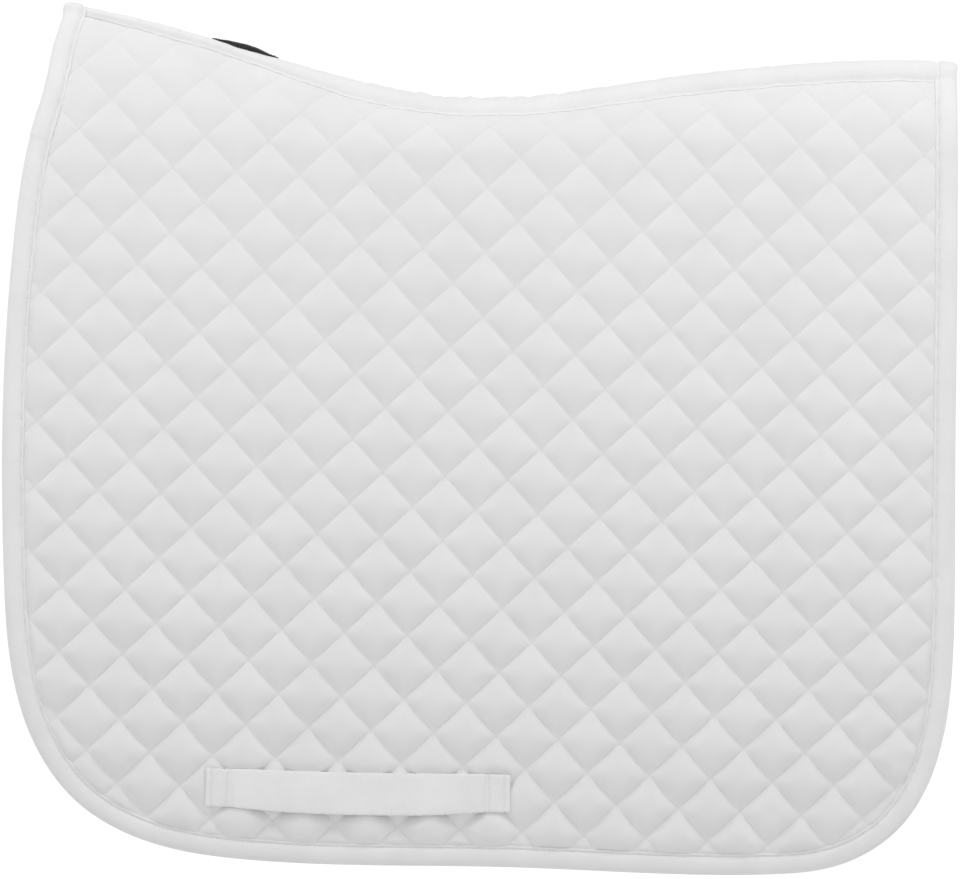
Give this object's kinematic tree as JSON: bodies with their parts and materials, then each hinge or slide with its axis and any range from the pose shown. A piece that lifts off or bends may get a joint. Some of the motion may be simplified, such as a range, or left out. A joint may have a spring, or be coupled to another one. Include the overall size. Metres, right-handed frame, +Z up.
{
  "type": "saddle pad",
  "caption": "Quilted cotton saddle pad hanging folded over its spine seam, with bound edges, spine tape and a webbing girth loop on each flap.",
  "frame": {"origin": "underside of the spine at its lowest point, midway between the flaps, where the pad rests on a rail or a horse's back", "axes": "+X towards the rear along the spine, +Y towards the horse's right, +Z up; the left flap is on -Y"},
  "size_m": [0.6595, 0.0924, 0.6028],
  "materials": {
    "cotton_face": "matte",
    "cotton_lining": "matte",
    "wadding": "matte",
    "binding_tape": "matte",
    "webbing": "matte",
    "thread": "satin",
    "label_black": "matte"
  },
  "bodies": {
    "ridge": {"right_top_face": "cotton_face", "right_top_wadding": "wadding", "right_top_lining": "cotton_lining", "left_top_face": "cotton_face", "left_top_wadding": "wadding", "left_top_lining": "cotton_lining", "spine_tape_outer": "binding_tape", "spine_tape_inner": "binding_tape", "withers_binding": "binding_tape", "cantle_binding": "binding_tape", "spine_label": "label_black"},
    "left_flap": {"left_flap_face": "cotton_face", "left_flap_wadding": "wadding", "left_flap_lining": "cotton_lining", "left_flap_binding": "binding_tape", "left_girth_strap": "webbing", "left_girth_strap_stitches": "thread"},
    "right_flap": {"right_flap_face": "cotton_face", "right_flap_wadding": "wadding", "right_flap_lining": "cotton_lining", "right_flap_binding": "binding_tape", "right_girth_strap": "webbing", "right_girth_strap_stitches": "thread"}
  },
  "joints": [
    {"name": "left_flap_swing", "type": "hinge", "parent": "ridge", "child": "left_flap", "pos_m": [0, -0.031, -0.028], "axis": [-1, 0, 0], "range_deg": [-1.5, 90]},
    {"name": "right_flap_swing", "type": "hinge", "parent": "ridge", "child": "right_flap", "pos_m": [0, 0.031, -0.028], "axis": [1, 0, 0], "range_deg": [-1.5, 90]}
  ]
}
